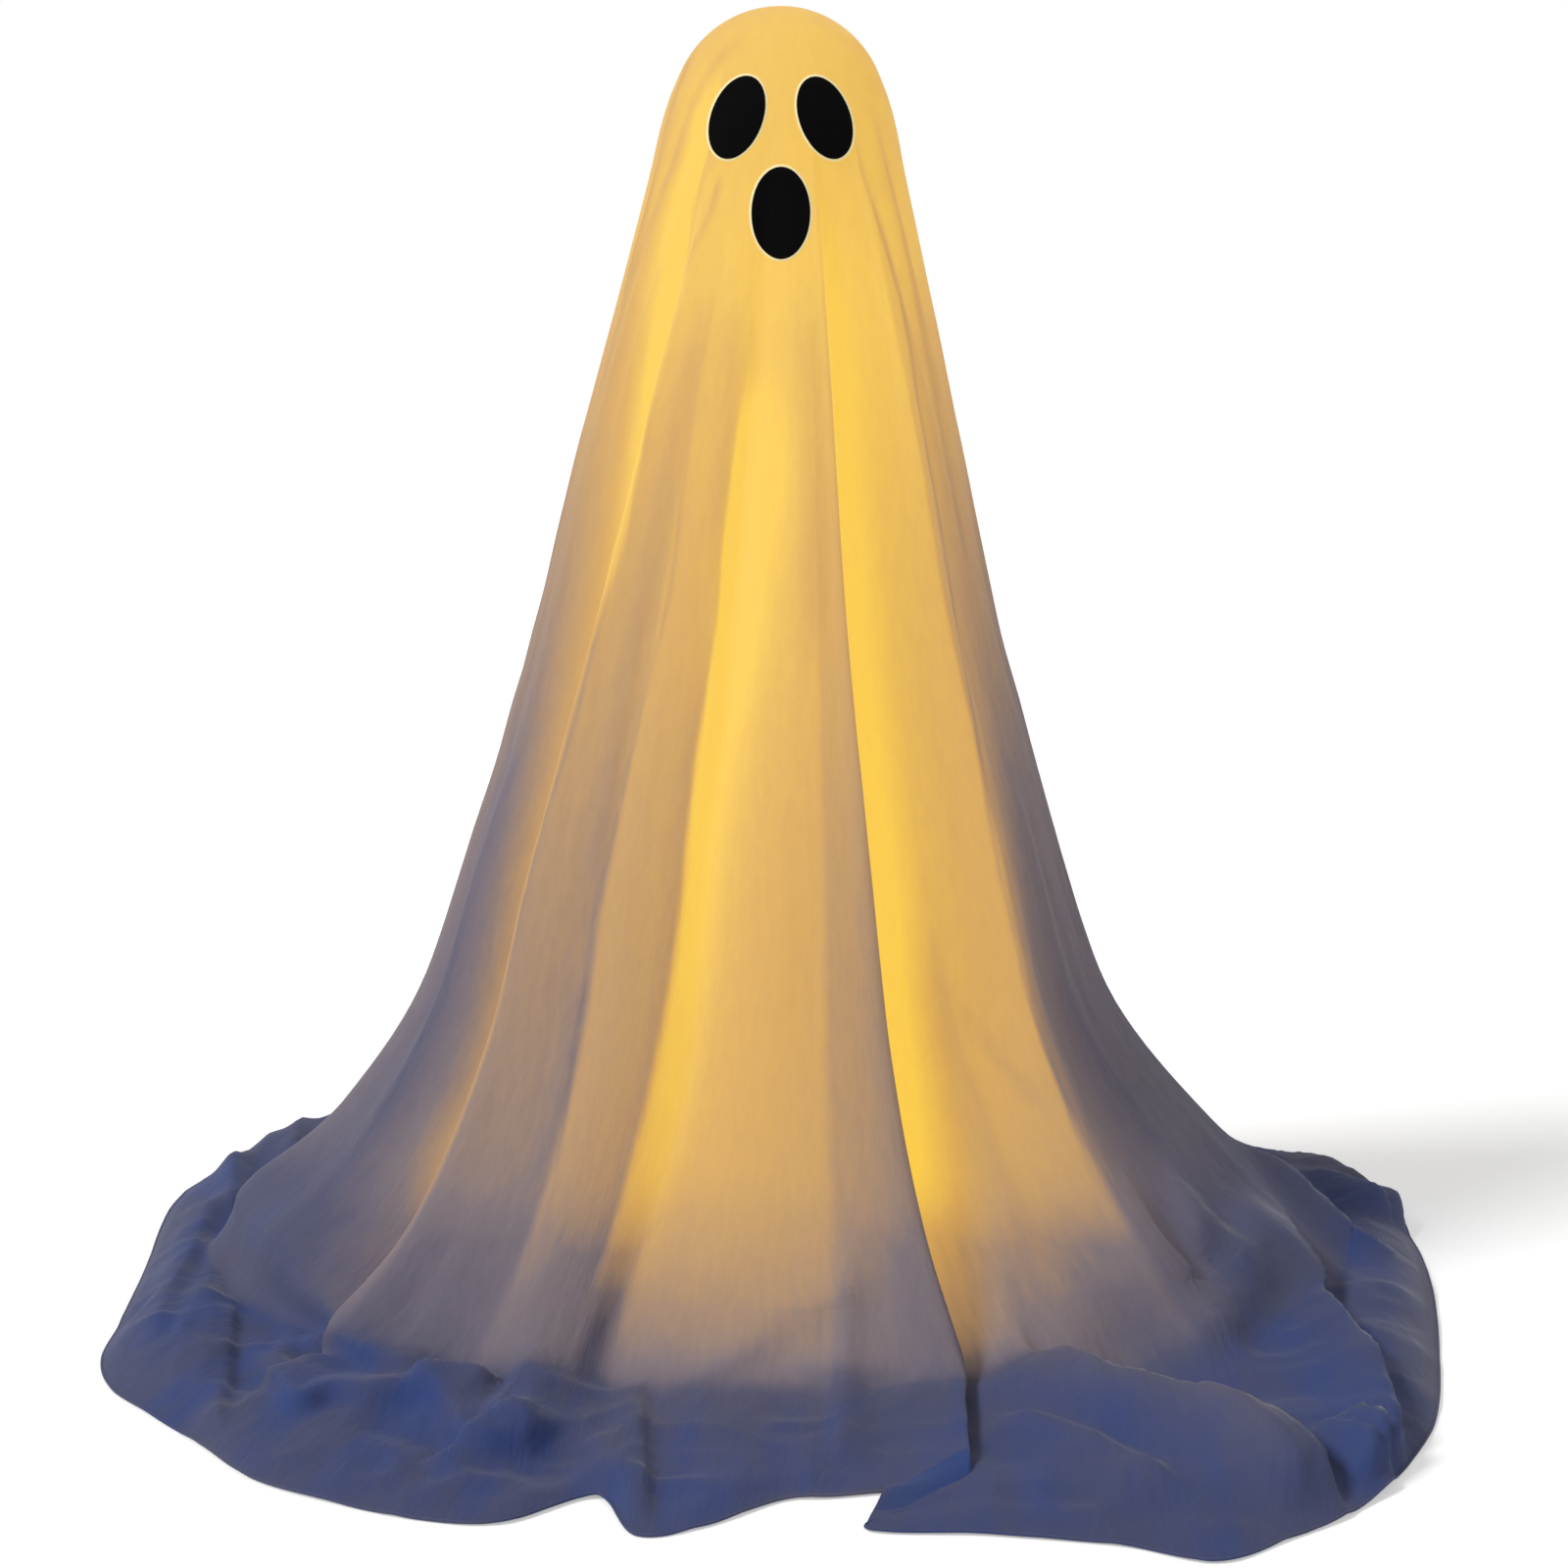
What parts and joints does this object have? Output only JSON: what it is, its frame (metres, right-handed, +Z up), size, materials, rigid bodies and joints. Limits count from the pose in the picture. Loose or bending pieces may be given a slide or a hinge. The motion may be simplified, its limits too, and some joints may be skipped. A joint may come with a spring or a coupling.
{
  "type": "lit fabric ghost figure",
  "caption": "Floor-standing ghost: a light cloth with felt eyes and mouth, draped over a globe on a jointed pole with a folding cross base and a battery lamp string inside.",
  "frame": {"origin": "the pole's axis at floor level, under the middle of the skirt's spread", "axes": "+Z up, the face looks along -Y, +X to the viewer's right when facing it"},
  "size_m": [1.032, 1.062, 0.965],
  "materials": {
    "cloth": "matte",
    "black_felt": "matte",
    "cream_felt": "matte",
    "globe_plastic": "satin",
    "white_tube": "satin",
    "grey_nylon": "matte",
    "coated_steel": "satin",
    "zinc_steel": "satin",
    "rubber": "matte",
    "lamp_wire": "gloss",
    "case_plastic": "satin",
    "switch_plastic": "satin",
    "cell_wrap": "gloss",
    "nickel": "gloss"
  },
  "bodies": {
    "stand": {"head_globe": "globe_plastic", "globe_seat": "grey_nylon", "seat_grub_screw": "zinc_steel", "pole_lower": "white_tube", "pole_middle": "white_tube", "pole_upper": "white_tube", "pole_cap": "grey_nylon", "pole_hub": "grey_nylon", "hub_screw_left": "zinc_steel", "hub_screw_right": "zinc_steel", "base_bar_upper": "coated_steel", "pivot_washer": "zinc_steel", "pivot_bolt": "zinc_steel", "pivot_nut": "zinc_steel", "foot_left": "rubber", "foot_right": "rubber", "light_string": "lamp_wire", "battery_case": "case_plastic", "case_saddle": "grey_nylon", "case_screw": "zinc_steel", "battery_cell_1": "cell_wrap", "battery_cell_2": "cell_wrap", "battery_cell_3": "cell_wrap", "contact_spring_1": "nickel", "contact_spring_2": "nickel", "contact_spring_3": "nickel", "contact_minus": "nickel", "contact_plus": "nickel", "contact_bridge_bottom": "nickel", "contact_bridge_top": "nickel", "switch_body": "case_plastic"},
    "shroud": {"cloth_shroud": "cloth", "left_eye": "black_felt", "right_eye": "black_felt", "mouth": "black_felt", "left_eye_backing": "cream_felt", "right_eye_backing": "cream_felt", "mouth_backing": "cream_felt"},
    "lower_bar": {"base_bar_lower": "coated_steel", "foot_front": "rubber", "foot_rear": "rubber"},
    "cover": {"battery_cover": "case_plastic"},
    "slider": {"switch_slider": "switch_plastic"}
  },
  "joints": [
    {"name": "shroud_lift", "type": "slide", "parent": "stand", "child": "shroud", "axis": [0, 0, 1], "range_m": [0, 1]},
    {"name": "base_fold", "type": "hinge", "parent": "stand", "child": "lower_bar", "pos_m": [0, 0, 0.0075], "axis": [0, 0, 1], "range_deg": [-78, 78]},
    {"name": "battery_cover_slide", "type": "slide", "parent": "stand", "child": "cover", "axis": [0, 0, 1], "range_m": [0, 0.06]},
    {"name": "switch_slide", "type": "slide", "parent": "stand", "child": "slider", "axis": [0, 0, 1], "range_m": [0, 0.004]}
  ]
}
